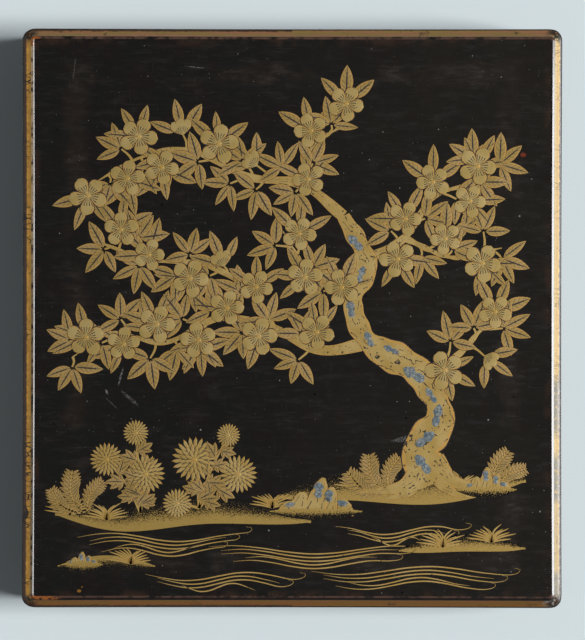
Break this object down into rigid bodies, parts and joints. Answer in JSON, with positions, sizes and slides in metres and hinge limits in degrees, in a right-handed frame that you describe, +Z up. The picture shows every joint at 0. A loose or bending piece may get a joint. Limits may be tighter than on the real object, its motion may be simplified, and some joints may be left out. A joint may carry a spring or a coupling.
{
  "type": "writing box",
  "caption": "Low lacquered writing box with an overhanging bevelled lid, baseboard, inkstone, water dropper, lift-out trays and writing tools.",
  "frame": {"origin": "centre of the underside of the body, which rests on the table", "axes": "+X to the right and +Y to the back of the box as it lies in the picture, +Z up through the lid"},
  "size_m": [0.222, 0.238, 0.046],
  "materials": {
    "lid_lacquer": "polished black lacquer on thin wood, with a worn gold bevel round the top",
    "body_lacquer": "polished black lacquer on thin wood",
    "inner_lacquer": "black lacquer sprinkled with gold flakes under a clear amber coat",
    "red_lacquer": "dark red lacquer on wood",
    "gilt_copper": "gilt copper, rubbed",
    "slate": "honed dark slate",
    "bamboo": "polished bamboo",
    "horn": "dark polished horn",
    "hair": "pale animal hair drawn to a point",
    "ink": "pressed soot ink with a dull polish",
    "steel": "ground steel"
  },
  "bodies": {
    "box_body": {"body_floor": "body_lacquer", "body_right_wall": "body_lacquer", "body_back_wall": "body_lacquer", "body_left_wall": "body_lacquer", "body_front_wall": "body_lacquer"},
    "lid": {"lid_panel": "lid_lacquer", "lid_right_wall": "lid_lacquer", "lid_back_wall": "lid_lacquer", "lid_left_wall": "lid_lacquer", "lid_front_wall": "lid_lacquer"},
    "baseboard": {"baseboard": "inner_lacquer", "baseboard_left_batten": "inner_lacquer", "baseboard_right_batten": "inner_lacquer"},
    "inkstone": {"inkstone": "slate"},
    "dropper": {"dropper_cup": "gilt_copper", "dropper_plate": "gilt_copper"},
    "right_tray": {"right_tray_floor": "inner_lacquer", "right_tray_right_wall": "inner_lacquer", "right_tray_back_wall": "inner_lacquer", "right_tray_left_wall": "inner_lacquer", "right_tray_front_wall": "inner_lacquer", "right_tray_front_rest": "inner_lacquer", "right_tray_back_rest": "inner_lacquer"},
    "left_tray": {"left_tray_floor": "inner_lacquer", "left_tray_right_wall": "inner_lacquer", "left_tray_back_wall": "inner_lacquer", "left_tray_left_wall": "inner_lacquer", "left_tray_front_wall": "inner_lacquer", "left_tray_front_rest": "inner_lacquer", "left_tray_back_rest": "inner_lacquer"},
    "brush_1": {"brush_1_handle": "bamboo", "brush_1_collar": "horn", "brush_1_tuft": "hair"},
    "brush_2": {"brush_2_handle": "bamboo", "brush_2_collar": "horn", "brush_2_tuft": "hair"},
    "ink_stick": {"ink_stick": "ink"},
    "knife": {"knife_handle": "red_lacquer", "knife_collar": "gilt_copper", "knife_blade": "steel"},
    "awl": {"awl_handle": "red_lacquer", "awl_collar": "gilt_copper", "awl_point": "steel"}
  },
  "joints": [
    {"name": "lid_lift", "type": "slide", "parent": "box_body", "child": "lid", "axis": [0, 0, 1], "range_m": [0, 0.22]},
    {"name": "baseboard_lift", "type": "slide", "parent": "box_body", "child": "baseboard", "axis": [0, 0, 1], "range_m": [0, 0.045]},
    {"name": "inkstone_lift", "type": "slide", "parent": "box_body", "child": "inkstone", "axis": [0, 0, 1], "range_m": [0, 0.078]},
    {"name": "dropper_lift", "type": "slide", "parent": "box_body", "child": "dropper", "axis": [0, 0, 1], "range_m": [0, 0.078]},
    {"name": "right_tray_lift", "type": "slide", "parent": "box_body", "child": "right_tray", "axis": [0, 0, 1], "range_m": [0, 0.089]},
    {"name": "left_tray_lift", "type": "slide", "parent": "box_body", "child": "left_tray", "axis": [0, 0, 1], "range_m": [0, 0.089]},
    {"name": "brush_1_lift", "type": "slide", "parent": "right_tray", "child": "brush_1", "axis": [0, 0, 1], "range_m": [0, 0.045]},
    {"name": "brush_2_lift", "type": "slide", "parent": "right_tray", "child": "brush_2", "axis": [0, 0, 1], "range_m": [0, 0.045]},
    {"name": "ink_stick_lift", "type": "slide", "parent": "left_tray", "child": "ink_stick", "axis": [0, 0, 1], "range_m": [0, 0.045]},
    {"name": "knife_lift", "type": "slide", "parent": "left_tray", "child": "knife", "axis": [0, 0, 1], "range_m": [0, 0.045]},
    {"name": "awl_lift", "type": "slide", "parent": "left_tray", "child": "awl", "axis": [0, 0, 1], "range_m": [0, 0.045]}
  ],
  "couplings": [
    {"joint": "baseboard_lift", "follows": "lid_lift", "ratio": 0.2},
    {"joint": "inkstone_lift", "follows": "lid_lift", "ratio": 0.35},
    {"joint": "dropper_lift", "follows": "lid_lift", "ratio": 0.35},
    {"joint": "right_tray_lift", "follows": "lid_lift", "ratio": 0.4},
    {"joint": "left_tray_lift", "follows": "lid_lift", "ratio": 0.4},
    {"joint": "brush_1_lift", "follows": "lid_lift", "ratio": 0.2},
    {"joint": "brush_2_lift", "follows": "lid_lift", "ratio": 0.2},
    {"joint": "ink_stick_lift", "follows": "lid_lift", "ratio": 0.2},
    {"joint": "knife_lift", "follows": "lid_lift", "ratio": 0.2},
    {"joint": "awl_lift", "follows": "lid_lift", "ratio": 0.2}
  ]
}
